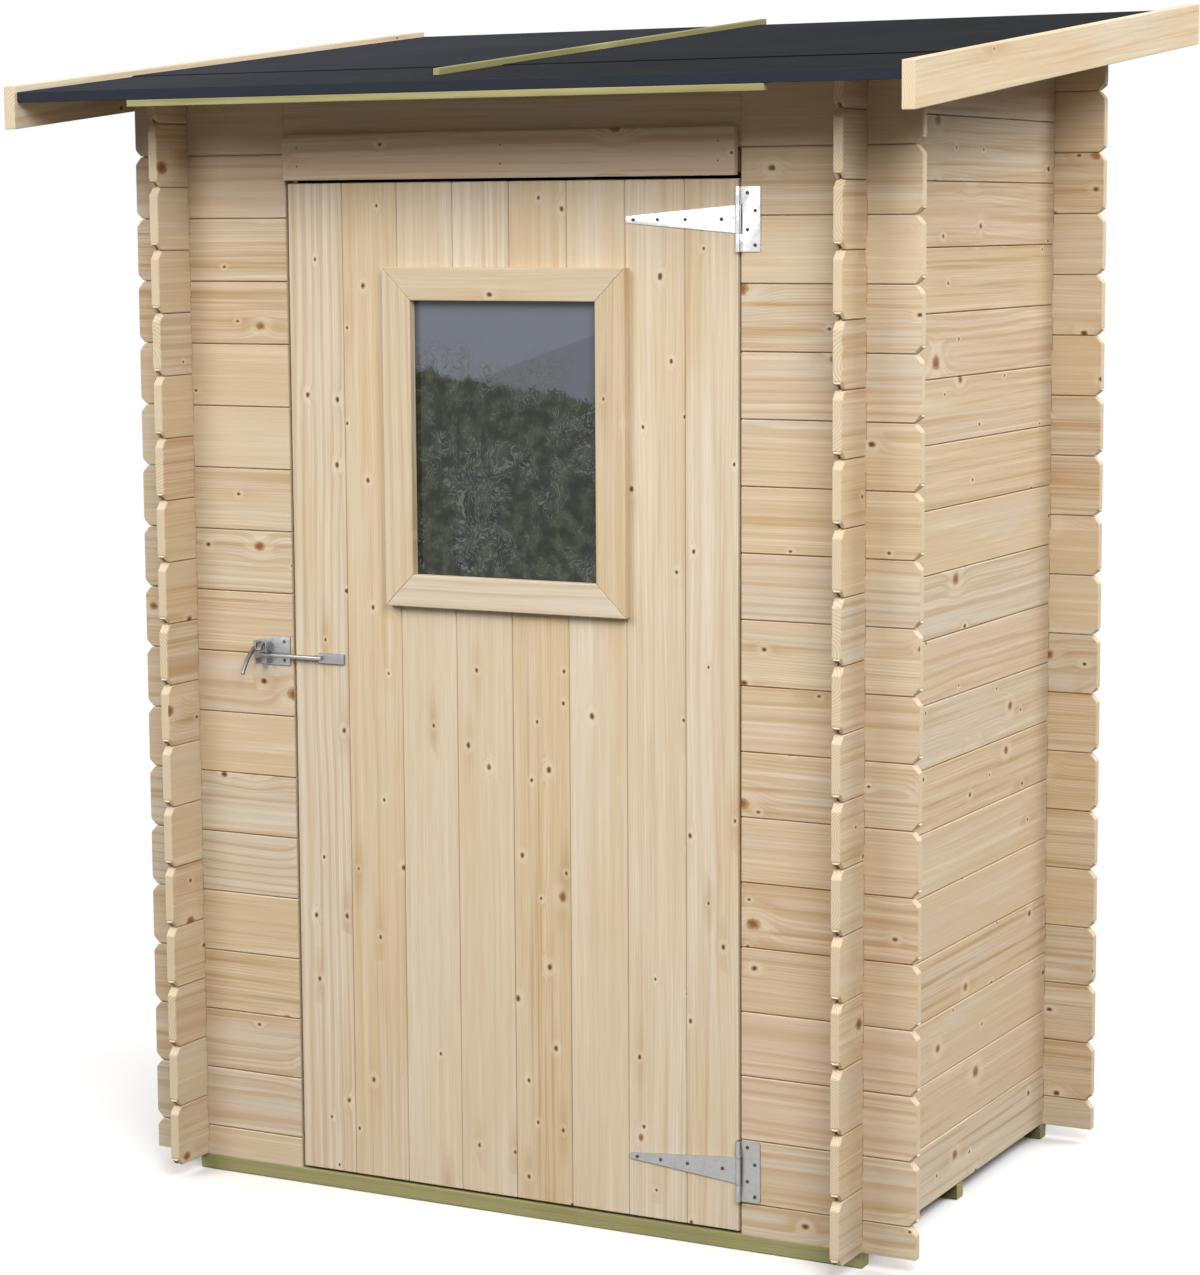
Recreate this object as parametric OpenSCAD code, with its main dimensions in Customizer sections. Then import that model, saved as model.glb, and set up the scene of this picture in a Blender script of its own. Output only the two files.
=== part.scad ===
// Lean-to garden shed of interlocked boards with a single-pitch felt roof.
// Millimetres. X runs along the front, Y to the back and Z up. The origin is on
// the ground, in the middle of the base.

/* [Walls] */
// Width across the outer faces of the side walls
shed_w = 1343; // [1150:1:2400]
// Depth from the front wall's outer face to the back wall's outer face
shed_d = 902; // [700:1:1800]
// Height of the front wall, from the bearers to the roof boards
front_h = 1968; // [1900:1:2400]
// Thickness of the wall boards
board_t = 18; // [14:1:28]
// Height of one course of wall boards
course_h = 112; // [90:1:140]
// Length of the board ends past the crossing at each corner
corner_overhang = 97; // [40:1:150]

/* [Base] */
// Height of the bearers under the walls and the floor
bearer_h = 28; // [20:1:100]
// Depth of a bearer, from its front to its back
bearer_d = 30; // [26:1:80]
// Thickness of the floor boards
floor_t = 18; // [12:1:28]

/* [Roof] */
// Slope of the roof in degrees, rising to the back
roof_pitch = 6.44; // [3:0.01:15]
// Roof past the front wall
eaves_front = 250; // [60:1:350]
// Roof past the back wall
eaves_back = 250; // [60:1:350]
// Roof past each side wall, up to the barge board
eaves_side = 166; // [110:1:300]
// Thickness of the roof boards
deck_t = 16; // [12:1:28]
// Thickness of the roofing felt
felt_t = 2; // [1:0.5:5]
// Height of a barge board
barge_h = 75; // [50:1:150]
// Thickness of a barge board
barge_t = 23; // [12:1:32]
// Height of a barge board's top edge above the felt
barge_rise = 12; // [0:1:25]
// Length of a barge board past the front of the roof boards
barge_nose = 10; // [3:1:40]
// Width of the batten and the eaves lath
lath_w = 13; // [10:1:40]
// Height of the batten and the eaves lath
lath_t = 12; // [8:1:30]
// Length of the eaves lath
lath_len = 1208; // [600:1:1400]
// Middle of the batten, measured from the middle of the roof
batten_x = -60; // [-200:1:200]
// Distance of the batten's front end behind the roof's front edge
batten_setback = 126; // [20:1:300]
// Length of the batten past the roof's back edge
batten_tail = 35; // [0:1:60]

/* [Door] */
// Width of the door leaf
door_w = 883; // [750:1:950]
// Height of the door leaf
door_h = 1792; // [1650:1:1850]
// Thickness of the door planks
door_t = 18; // [16:1:28]
// Gap round the door leaf
door_gap = 5; // [5:0.5:8]
// Height of the board over the door
head_board_h = 80; // [60:1:80]
// Thickness of the board over the door
head_board_t = 15; // [12:1:24]
// Opening angle of the door in degrees
door_open = 120; // [60:1:120]
// Width of the posts and of the rail behind the doorway's edges
jamb_w = 45; // [35:1:70]
// Depth of the posts and of the rail behind the wall boards
jamb_d = 40; // [30:1:70]
// How far the posts and the rail reach into the doorway, as a stop
jamb_stop = 12; // [8:1:20]
// Height of the ledges across the back of the door
ledge_h = 90; // [60:1:100]
// Thickness of the ledges
ledge_t = 18; // [14:1:24]

/* [Window] */
// Width of the visible glass
glass_w = 363; // [200:1:440]
// Height of the visible glass
glass_h = 480; // [250:1:500]
// Thickness of the glass
glass_t = 4; // [3:0.5:6]
// Middle of the window above the bearers
window_z = 1353; // [1340:1:1360]
// Width of the casing boards round the window
casing_w = 57; // [40:1:60]
// Thickness of the outer casing
casing_t = 18; // [12:1:24]
// Thickness of the inner casing
inner_casing_t = 15; // [10:1:20]
// How far the casings overlap the edge of the glass
glazing_lap = 8; // [5:1:12]

/* [Hinges] */
// Height of the top hinge above the bearers
hinge_top_z = 1730; // [1710:1:1740]
// Height of the bottom hinge above the bearers
hinge_bottom_z = 113; // [90:1:300]
// Radius of the hinge barrel
barrel_r = 5; // [4:0.5:7]
// Radius of the hinge pin
pin_r = 2.5; // [1.5:0.1:3]
// Thickness of the hinge plates and the latch plate
plate_t = 2.5; // [2:0.5:4]
// Height of the hinge plate on the wall
hinge_plate_h = 107; // [80:1:140]
// Reach of the hinge plate past the barrel's axis
hinge_plate_w = 39; // [30:1:60]
// Height of the strap at the barrel
strap_h = 47; // [30:1:60]
// Height of the strap at its tip
strap_tip_h = 10; // [6:1:20]
// Length of the strap from the barrel's axis
strap_len = 211; // [120:1:300]

/* [Latch] */
// Height of the striker rod above the bearers
latch_z = 952; // [900:1:1000]
// Width of the latch plate
latch_plate_w = 78; // [70:1:100]
// Gap between the latch plate and the edge of the wall boards
latch_inset = 5; // [3:1:20]
// Radius of the striker rod
rod_r = 4; // [3:0.5:5]
// Length of the rod over the door leaf
rod_on_door = 53; // [30:1:90]
// Length of the rod past the door's edge
rod_reach = 70; // [60:1:75]
// Length of the flat end of the striker
striker_len = 52; // [30:1:80]
// Height of the flat end of the striker
striker_h = 18; // [14:1:30]
// Thickness of the flat end of the striker
striker_t = 5; // [3:0.5:8]
// Turn of the latch lever from its raised rest to behind the rod, in degrees
latch_turn = 45; // [45:1:50]
// Length of the lever's thumb tail
tail_len = 66; // [40:1:80]

/* [Hidden] */
$fn = 48;

// Cuts run this far past the faces they go through.
past = 1;
// Radial clearance of a pin in a turning knuckle or boss.
pin_fit = 0.05;
// Gap between neighbouring knuckles.
knuckle_gap = 0.5;
// Air between the barrel and the boards behind it.
barrel_air = 0.5;
// Air under a sloped layer, so that rounding never makes it overlap what it rests on.
slope_air = 0.02;

half_w = shed_w / 2;
front_y = -shed_d / 2;
back_y = shed_d / 2;
wall_z = bearer_h;
door_left_x = -door_w / 2;
door_right_x = door_w / 2;
doorway_x = door_w / 2 + door_gap;
door_z = wall_z + door_gap;
door_top_z = door_z + door_h;
// The board over the door starts one gap above the leaf.
head_board_z = door_top_z + door_gap;
// The doorway reaches the first seam of the front wall above the leaf.
doorway_top_z = wall_z + (ceil((head_board_z - wall_z) / course_h - 0.5) + 0.5) * course_h;

// Roof: the underside of the roof boards rises to the back from the front wall.
rise = tan(roof_pitch);
deck_v = deck_t / cos(roof_pitch);
felt_v = felt_t / cos(roof_pitch);
barge_v = barge_h / cos(roof_pitch);
roof_front_y = front_y - eaves_front;
roof_back_y = back_y + eaves_back;
roof_half_w = half_w + eaves_side;
function under(y) = wall_z + front_h + (y - front_y) * rise;

// Hinge axis: in the middle of the gap, just clear of the boards.
hinge_x = door_right_x + door_gap / 2;
hinge_y = front_y - barrel_r - barrel_air;

// Latch: the rod lies in front of the latch plate, the lever's pin above it.
rod_y = front_y - striker_t - rod_r;
rod_z = wall_z + latch_z;
lever_pin_r = 2;
lever_rise = 16;
lever_pin_z = rod_z + lever_rise;
latch_right_x = door_left_x - door_gap - latch_inset;
latch_left_x = latch_right_x - latch_plate_w;
ear_t = 2.5;
ear_inside_w = 20;
ear_depth = 20;
ear_left_x = latch_left_x + 13;
ear_right_x = ear_left_x + ear_t + ear_inside_w;
rod_slot = rod_r + 2;
hook_w = 10;
hook_gap = 3;
hook_t = 4;
tail_w = 6;
tail_t = 5;

// A prism along X whose outline is drawn with Y to the right and Z up.
module along_x(x0, x1) {
    translate([x0, 0, 0]) rotate([90, 0, 90]) linear_extrude(x1 - x0) children();
}

// A plate whose outline is drawn with X to the right and Z up, from y0 back to y1.
module along_y(y0, y1) {
    translate([0, y1, 0]) rotate([90, 0, 0]) linear_extrude(y1 - y0) children();
}

module block(low, high) {
    translate(low) cube(high - low);
}

// A layer that follows the roof, from low to high above the roof boards' underside.
module roof_layer(y0, y1, low, high) {
    polygon([[y0, under(y0) + low], [y1, under(y1) + low], [y1, under(y1) + high], [y0, under(y0) + high]]);
}

// Everything above the underside of the roof boards.
module above_roof() {
    y0 = roof_front_y - 100;
    y1 = roof_back_y + 100;
    along_x(-2 * roof_half_w, 2 * roof_half_w)
        roof_layer(y0, y1, -slope_air, 1000);
}

// Last course that the crossings need.
course_count = ceil((front_h + shed_d * rise) / course_h) + 1;

// Half-height tongues at the corners, one for each course. Shift 0 gives those of
// the front and back walls' boards, 0.5 those of the side walls' boards.
module crossings(x, y, shift) {
    for (n = [0 : course_count]) {
        z = wall_z + (n + shift - 0.25) * course_h;
        block([x - past, y - past, z], [x + board_t + past, y + board_t + past, z + course_h / 2]);
    }
}

module bearer(y) {
    color("#8d8f4e") block([-half_w, y, 0], [half_w, y + bearer_d, bearer_h]);
}

module bearer_front() { bearer(front_y); }
module bearer_middle() { bearer(-bearer_d / 2); }
module bearer_back() { bearer(back_y - bearer_d); }

// The floor lies on the bearers inside the walls, one gap behind the door leaf.
module floor_deck() {
    color("#c9b184")
        block([-half_w + board_t, front_y + door_t + door_gap, wall_z],
              [half_w - board_t, back_y - board_t, wall_z + floor_t]);
}

// A stretch of the front or back wall: a slab under the roof, notched at the crossings.
module long_wall(y, x0, x1, z0) {
    color("#d8c095") difference() {
        block([x0, y, z0], [x1, y + board_t, under(y) + past + board_t]);
        above_roof();
        crossings(-half_w, y, 0.5);
        crossings(half_w - board_t, y, 0.5);
    }
}

module front_wall_left() { long_wall(front_y, -half_w - corner_overhang, -doorway_x, wall_z); }
module front_wall_right() { long_wall(front_y, doorway_x, half_w + corner_overhang, wall_z); }
module front_wall_head() { long_wall(front_y, -doorway_x, doorway_x, doorway_top_z); }
module back_wall() {
    long_wall(back_y - board_t, -half_w - corner_overhang, half_w + corner_overhang, wall_z);
}

module side_wall(x) {
    y0 = front_y - corner_overhang;
    y1 = back_y + corner_overhang;
    color("#d3bb90") difference() {
        along_x(x, x + board_t)
            polygon([[y0, wall_z], [y1, wall_z], [y1, under(y1) - slope_air], [y0, under(y0) - slope_air]]);
        crossings(x, front_y, 0);
        crossings(x, back_y - board_t, 0);
    }
}

module side_wall_left() { side_wall(-half_w); }
module side_wall_right() { side_wall(half_w - board_t); }

// Posts and a rail behind the doorway's edges. They hold the wall boards' ends, and
// their rebate is the stop that the closed door nearly meets.
jamb_front_y = front_y + board_t;
jamb_back_y = jamb_front_y + jamb_d;
stop_y = front_y + door_t + door_gap;
stop_x = doorway_x - jamb_stop;
stop_z = head_board_z + door_gap;

module door_jamb(side) {
    color("#cdb588") difference() {
        mirror([side < 0 ? 1 : 0, 0, 0]) difference() {
            block([stop_x, jamb_front_y, wall_z + floor_t],
                  [stop_x + jamb_w, jamb_back_y, under(jamb_back_y)]);
            block([stop_x - past, jamb_front_y - past, wall_z],
                  [doorway_x, stop_y, doorway_top_z]);
            block([stop_x - past, jamb_front_y - past, wall_z],
                  [stop_x + jamb_w + past, stop_y, wall_z + floor_t + past]);
        }
        above_roof();
    }
}

module door_jamb_left() { door_jamb(-1); }
module door_jamb_right() { door_jamb(1); }

module door_jamb_head() {
    color("#cdb588") difference() {
        block([-stop_x, jamb_front_y, stop_z], [stop_x, jamb_back_y, doorway_top_z + jamb_w]);
        block([-stop_x - past, jamb_front_y - past, stop_z - past],
              [stop_x + past, stop_y, doorway_top_z]);
    }
}

module door_head_board() {
    color("#cfb78c")
        block([door_left_x, front_y - head_board_t, head_board_z],
              [door_right_x, front_y, head_board_z + head_board_h]);
}

module roof_deck() {
    color("#c8b083") along_x(-roof_half_w, roof_half_w)
        roof_layer(roof_front_y, roof_back_y, 0, deck_v);
}

// The felt covers the boards and turns down over their front edge.
module roof_felt() {
    color("#2b2e34") along_x(-roof_half_w, roof_half_w) union() {
        roof_layer(roof_front_y - felt_t, roof_back_y, deck_v + slope_air, deck_v + felt_v);
        roof_layer(roof_front_y - felt_t, roof_front_y, 0, deck_v + past / 2);
    }
}

module barge_board(x) {
    top = deck_v + felt_v + barge_rise;
    color("#e0caa0") along_x(x, x + barge_t)
        roof_layer(roof_front_y - barge_nose, roof_back_y, top - barge_v, top);
}

module barge_board_left() { barge_board(-roof_half_w - barge_t); }
module barge_board_right() { barge_board(roof_half_w); }

module roof_batten() {
    base = deck_v + felt_v + slope_air;
    color("#b9b97a") along_x(batten_x - lath_w / 2, batten_x + lath_w / 2)
        roof_layer(roof_front_y + batten_setback, roof_back_y + batten_tail, base, base + lath_t);
}

// The lath under the front edge of the roof boards holds the felt that is turned down.
module eaves_lath() {
    y0 = roof_front_y - felt_t;
    color("#b9b97a") along_x(-lath_len / 2, lath_len / 2) roof_layer(y0, y0 + lath_w, -lath_t, -slope_air);
}

// Door leaf, with the hole that the glass and its bead sit in.
hole_w = glass_w + 2 * glazing_lap;
hole_h = glass_h + 2 * glazing_lap;
window_mid_z = wall_z + window_z;

module centred_block(w, h, y0, y1) {
    block([-w / 2, y0, window_mid_z - h / 2], [w / 2, y1, window_mid_z + h / 2]);
}

module door_leaf() {
    color("#d9c295") difference() {
        block([door_left_x, front_y, door_z], [door_right_x, front_y + door_t, door_top_z]);
        centred_block(hole_w, hole_h, front_y - past, front_y + door_t + past);
    }
}

// Ledges end clear of the posts.
module door_ledge(z) {
    half_len = stop_x - 2 * door_gap;
    color("#cdb588")
        block([-half_len, front_y + door_t, z - ledge_h / 2],
              [half_len, front_y + door_t + ledge_t, z + ledge_h / 2]);
}

module door_ledge_top() { door_ledge(wall_z + hinge_top_z); }
module door_ledge_middle() { door_ledge(wall_z + latch_z); }
module door_ledge_bottom() { door_ledge(wall_z + hinge_bottom_z); }

casing_out_w = glass_w + 2 * casing_w;
casing_out_h = glass_h + 2 * casing_w;

module window_casing() {
    color("#dcc497") difference() {
        centred_block(casing_out_w, casing_out_h, front_y - casing_t, front_y);
        centred_block(glass_w, glass_h, front_y - casing_t - past, front_y + past);
    }
}

// The inner casing has a bead that reaches through the leaf to the glass.
module window_casing_inner() {
    inside_y = front_y + door_t;
    color("#d3bb8e") difference() {
        union() {
            centred_block(casing_out_w, casing_out_h, inside_y, inside_y + inner_casing_t);
            centred_block(hole_w, hole_h, front_y + glass_t, inside_y + past);
        }
        centred_block(glass_w, glass_h, front_y, inside_y + inner_casing_t + past);
    }
}

module window_glass() {
    color("#4a545c") centred_block(hole_w, hole_h, front_y, front_y + glass_t);
}

// Hinges. The strap turns on the middle knuckle, the plate holds the outer two.
half_mid = strap_h / 2;
half_plate = hinge_plate_h / 2;

module knuckle(z0, z1, bore_r) {
    translate([hinge_x, hinge_y, z0]) difference() {
        cylinder(h = z1 - z0, r = barrel_r);
        translate([0, 0, -past]) cylinder(h = z1 - z0 + 2 * past, r = bore_r);
    }
}

module hinge_strap(z) {
    tip_x = hinge_x - strap_len;
    color("#b8bcc0") union() {
        knuckle(z - half_mid, z + half_mid, pin_r + pin_fit);
        along_y(front_y - plate_t, front_y)
            polygon([[hinge_x, z - half_mid], [hinge_x, z + half_mid],
                     [tip_x, z + strap_tip_h / 2], [tip_x, z - strap_tip_h / 2]]);
    }
}

module hinge_plate(z) {
    inner_x = hinge_x + barrel_r + barrel_air + knuckle_gap;
    reach = half_mid + knuckle_gap;
    color("#b2b6ba") union() {
        for (end = [-1, 1]) {
            low = end < 0 ? z - half_plate : z + reach;
            high = end < 0 ? z - reach : z + half_plate;
            knuckle(low, high, pin_r);
            block([hinge_x, front_y - plate_t, low], [inner_x + past, front_y, high]);
        }
        block([inner_x, front_y - plate_t, z - half_plate],
              [hinge_x + hinge_plate_w, front_y, z + half_plate]);
    }
}

module hinge_pin(z) {
    color("#9da1a5") translate([hinge_x, hinge_y, z - half_plate])
        cylinder(h = hinge_plate_h, r = pin_r);
}

module hinge_strap_top() { hinge_strap(wall_z + hinge_top_z); }
module hinge_strap_bottom() { hinge_strap(wall_z + hinge_bottom_z); }
module hinge_plate_top() { hinge_plate(wall_z + hinge_top_z); }
module hinge_plate_bottom() { hinge_plate(wall_z + hinge_bottom_z); }
module hinge_pin_top() { hinge_pin(wall_z + hinge_top_z); }
module hinge_pin_bottom() { hinge_pin(wall_z + hinge_bottom_z); }

// An ear of the latch, open to the front for the rod and drilled for the lever's pin.
ear_low = rod_z - 16;
ear_high = rod_z + 24;

module latch_ear(x) {
    difference() {
        block([x, front_y - ear_depth, ear_low], [x + ear_t, front_y - plate_t / 2, ear_high]);
        block([x - past, front_y - ear_depth - past, rod_z - rod_slot],
              [x + ear_t + past, rod_y + rod_slot, rod_z + rod_slot]);
        translate([x - past, rod_y, lever_pin_z]) rotate([0, 90, 0])
            cylinder(h = ear_t + 2 * past, r = lever_pin_r + pin_fit);
    }
}

module latch_plate() {
    low = rod_z - 18;
    high = rod_z + 34;
    color("#a9adb0") union() {
        along_y(front_y - plate_t, front_y)
            polygon([[latch_left_x, low + 4], [latch_left_x + 28, low], [latch_right_x, low],
                     [latch_right_x, high], [latch_right_x - 30, high], [latch_left_x, high - 10]]);
        latch_ear(ear_left_x);
        latch_ear(ear_right_x);
    }
}

// Outlines of the hook and the tail with the lever turned down and its pin at [0, 0].
hook_front = -(rod_r + hook_gap + hook_t);
hook_back = -(rod_r + hook_gap);
hook_low = -(lever_rise + 2);
boss_r = 5;

module hook_outline() {
    circle(r = boss_r);
    polygon([[0, boss_r], [hook_front, 1], [hook_front, hook_low], [hook_back, hook_low], [hook_back, -3],
             [0, -boss_r]]);
}

// The tail swells forward a little on its way down.
tail_steps = 10;
tail_bow = 5;
function tail_y(s) = -tail_bow * sin(180 * s);

module tail_outline() {
    circle(r = boss_r);
    polygon(concat(
        [for (k = [0 : tail_steps]) let(s = k / tail_steps) [tail_y(s) - tail_t / 2, -s * tail_len]],
        [for (k = [tail_steps : -1 : 0]) let(s = k / tail_steps) [tail_y(s) + tail_t / 2, -s * tail_len]]));
}

module latch_lever() {
    middle_x = ear_left_x + ear_t + ear_inside_w / 2;
    tail_x = ear_left_x - knuckle_gap - tail_w;
    color("#8f8a80") translate([0, rod_y, lever_pin_z]) rotate([-latch_turn, 0, 0]) union() {
        translate([tail_x, 0, 0]) rotate([0, 90, 0])
            cylinder(h = ear_right_x + ear_t + 2 - tail_x, r = lever_pin_r);
        along_x(middle_x - hook_w / 2, middle_x + hook_w / 2) hook_outline();
        along_x(tail_x, tail_x + tail_w) tail_outline();
    }
}

// The striker is a flat end on the door leaf, and a rod that reaches the latch.
module striker_bar() {
    end_x = door_left_x + rod_on_door;
    color("#a7abae") union() {
        block([end_x, front_y - striker_t, rod_z - striker_h / 2],
              [end_x + striker_len, front_y, rod_z + striker_h / 2]);
        block([end_x - 2 * rod_r, rod_y, rod_z - rod_r], [end_x + 2 * rod_r, front_y, rod_z + rod_r]);
        translate([door_left_x - rod_reach, rod_y, rod_z]) rotate([0, 90, 0])
            cylinder(h = rod_reach + rod_on_door + 2 * rod_r, r = rod_r);
    }
}

bearer_front();
bearer_middle();
bearer_back();
floor_deck();
front_wall_left();
front_wall_right();
front_wall_head();
back_wall();
side_wall_left();
side_wall_right();
door_jamb_left();
door_jamb_right();
door_jamb_head();
door_head_board();
roof_deck();
roof_felt();
barge_board_left();
barge_board_right();
roof_batten();
eaves_lath();
door_leaf();
door_ledge_top();
door_ledge_middle();
door_ledge_bottom();
window_casing();
window_casing_inner();
window_glass();
hinge_strap_top();
hinge_strap_bottom();
hinge_plate_top();
hinge_plate_bottom();
hinge_pin_top();
hinge_pin_bottom();
latch_plate();
latch_lever();
striker_bar();
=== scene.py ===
"""Lean-to garden shed: boards, planks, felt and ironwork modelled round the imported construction."""
import math
import random

import bmesh
import bpy
from bpy.props import FloatProperty, FloatVectorProperty, IntProperty, PointerProperty
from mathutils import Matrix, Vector


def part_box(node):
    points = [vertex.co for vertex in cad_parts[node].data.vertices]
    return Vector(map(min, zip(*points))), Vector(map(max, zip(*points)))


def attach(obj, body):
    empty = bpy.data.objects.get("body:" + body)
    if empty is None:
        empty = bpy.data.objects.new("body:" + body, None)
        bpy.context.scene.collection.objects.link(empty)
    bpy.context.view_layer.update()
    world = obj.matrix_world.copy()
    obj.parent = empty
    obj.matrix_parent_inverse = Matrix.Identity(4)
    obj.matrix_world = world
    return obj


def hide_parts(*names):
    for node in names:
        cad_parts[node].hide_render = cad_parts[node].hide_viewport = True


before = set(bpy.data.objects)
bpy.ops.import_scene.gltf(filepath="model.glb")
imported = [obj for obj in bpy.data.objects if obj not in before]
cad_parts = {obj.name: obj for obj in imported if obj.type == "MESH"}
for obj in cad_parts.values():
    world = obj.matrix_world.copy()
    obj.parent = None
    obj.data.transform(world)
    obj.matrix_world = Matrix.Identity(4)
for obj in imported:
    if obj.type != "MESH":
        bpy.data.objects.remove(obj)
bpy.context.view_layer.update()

bl_info = {
    "name": "Lean-to Garden Shed",
    "version": (1, 0, 0),
    "blender": (4, 5, 0),
    "location": "3D View > Sidebar > Shed",
    "description": "Boards, door, roof and ironwork of a small lean-to garden shed",
    "category": "Object",
}

# Where the walls, the door and the roof stand, from the construction.
LEFT_LOW, LEFT_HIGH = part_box("side_wall_left")
RIGHT_LOW, RIGHT_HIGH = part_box("side_wall_right")
FRONT_LOW, FRONT_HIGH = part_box("front_wall_right")
BACK_LOW, BACK_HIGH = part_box("back_wall")
LEAF_LOW, LEAF_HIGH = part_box("door_leaf")
GLASS_LOW, GLASS_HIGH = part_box("window_glass")
CASING_LOW, CASING_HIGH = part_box("window_casing")
DECK_LOW, DECK_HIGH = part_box("roof_deck")
FELT_LOW, FELT_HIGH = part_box("roof_felt")
BASE_Z = LEFT_LOW.z
BOARD_T = LEFT_HIGH.x - LEFT_LOW.x
FRONT_Y = FRONT_LOW.y
SLOPE = (LEFT_HIGH.z - DECK_LOW.z) / (LEFT_HIGH.y - DECK_LOW.y)
DECK_V = DECK_HIGH.z - DECK_LOW.z - SLOPE * (DECK_HIGH.y - DECK_LOW.y)
FELT_V = FELT_HIGH.z - DECK_HIGH.z


def under(y):
    """Height of the roof boards' underside at a distance y along the depth."""
    return DECK_LOW.z + (y - DECK_LOW.y) * SLOPE


# ---------------------------------------------------------------- properties

def length(name, description, default, low=0.0, high=3.0):
    return FloatProperty(name=name, description=description, default=default, min=low, max=high,
                         unit="LENGTH", subtype="DISTANCE", precision=4)


def colour(name, description, default):
    return FloatVectorProperty(name=name, description=description, default=default, size=3,
                               min=0.0, max=1.0, subtype="COLOR")


class ShedSizes(bpy.types.PropertyGroup):
    """Sizes of the boards and fittings."""
    course: length("Course height", "Height that one wall board covers", 0.112, 0.05, 0.3)
    tongue_t: length("Tongue thickness", "Thickness of a board's tongue", 0.005, 0.002, 0.01)
    tongue_h: length("Tongue height", "Height of a board's tongue", 0.007, 0.002, 0.02)
    chamfer_long: length("End chamfer length", "Chamfer of a board's end, along the board", 0.0115, 0.0, 0.03)
    chamfer_high: length("End chamfer height", "Chamfer of a board's end, up the board", 0.0135, 0.0, 0.04)
    round_edge: length("Edge rounding", "Rounding along the edges of the boards", 0.0015, 0.0002, 0.004)
    seam: length("Seam", "Half of the gap between two boards of a wall", 0.0007, 0.0001, 0.002)
    plank: length("Plank width", "Width that one door plank covers", 0.112, 0.05, 0.3)
    floor_board: length("Floor board width", "Width of a floor or roof board", 0.1, 0.05, 0.3)
    felt_seam: length("Felt seam", "Distance from the felt's front edge to its overlap", 0.345, 0.1, 0.9)
    screw_r: length("Screw head radius", "Radius of a screw head on the ironwork", 0.0032, 0.001, 0.01)
    nail_r: length("Nail head radius", "Radius of a nail head in the boards", 0.0016, 0.0005, 0.006)
    seed: IntProperty(name="Board selection", description="Picks other boards from the pile", default=7)


class ShedColours(bpy.types.PropertyGroup):
    """Colours of the wood, felt and metal."""
    cream: colour("Cream wood", "Palest spruce", (0.70, 0.585, 0.42))
    straw: colour("Straw wood", "Yellowish spruce", (0.67, 0.525, 0.34))
    rose: colour("Rose wood", "Pinkish spruce", (0.68, 0.53, 0.385))
    grey: colour("Grey wood", "Cool greyish spruce", (0.66, 0.575, 0.45))
    pale: colour("Pale wood", "Washed-out spruce", (0.77, 0.675, 0.53))
    honey: colour("Honey grain", "Late wood and resin streaks", (0.49, 0.305, 0.135))
    end_grain: colour("End grain", "Sawn ends of the boards", (0.74, 0.62, 0.44))
    halo: colour("Knot halo", "Pale wood round a knot", (0.86, 0.76, 0.60))
    knot: colour("Knot", "Rim of a small knot", (0.33, 0.20, 0.10))
    knot_core: colour("Knot core", "Middle of a small knot", (0.10, 0.055, 0.03))
    branch: colour("Branch", "Rim of a large knot", (0.42, 0.225, 0.095))
    branch_core: colour("Branch core", "Middle of a large knot", (0.24, 0.105, 0.045))
    moss: colour("Treated wood", "Green pressure-treated wood", (0.225, 0.205, 0.07))
    moss_pale: colour("Pale treated wood", "Light streaks in the treated wood", (0.38, 0.345, 0.155))
    felt: colour("Felt", "Dark roofing felt", (0.0045, 0.0052, 0.0068))
    zinc: colour("Zinc", "Bright zinc plating", (0.80, 0.80, 0.80))
    grey_zinc: colour("Grey zinc", "Zinc plating that has dulled to grey", (0.40, 0.40, 0.40))
    dull_zinc: colour("Dull zinc", "Weathered zinc plating", (0.30, 0.29, 0.265))
    # Dark screw and nail heads: the dark colour is painted shade in and round their recesses.
    screw: colour("Screws", "Dark screw heads", (0.10, 0.10, 0.10))
    # Colours of the reflection painted on the glass: leaves, glints of light leaves and the sky.
    leaves: colour("Leaves", "Foliage mirrored in the glass", (0.040, 0.046, 0.028))
    painted_glint: colour("Leaf glints", "Light leaves mirrored in the glass", (0.145, 0.15, 0.165))
    sky: colour("Sky", "Sky mirrored in the glass", (0.165, 0.18, 0.215))
    floor: colour("Studio floor", "Pale floor of the studio", (0.9, 0.9, 0.9))


def sizes():
    return bpy.context.scene.shed_sizes


def colours():
    return bpy.context.scene.shed_colours


# ---------------------------------------------------------------- modelling steps

def deselect():
    bpy.ops.object.select_all(action="DESELECT")


def box(name, low, high):
    """A box between two corners, with its place in its mesh."""
    low, high = Vector(low), Vector(high)
    deselect()
    bpy.ops.mesh.primitive_cube_add(size=1, location=(low + high) / 2, scale=high - low)
    piece = bpy.context.object
    piece.name = piece.data.name = name
    bpy.ops.object.transform_apply(location=True, rotation=True, scale=True)
    return piece


def rod(name, centre, radius, depth, axis, sides=24):
    """A round bar about a centre, along X, Y or Z."""
    turn = {"X": (0, math.pi / 2, 0), "Y": (math.pi / 2, 0, 0), "Z": (0, 0, 0)}[axis]
    deselect()
    bpy.ops.mesh.primitive_cylinder_add(vertices=sides, radius=radius, depth=depth, location=centre, rotation=turn)
    piece = bpy.context.object
    piece.name = piece.data.name = name
    bpy.ops.object.transform_apply(location=True, rotation=True, scale=True)
    return piece


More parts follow.
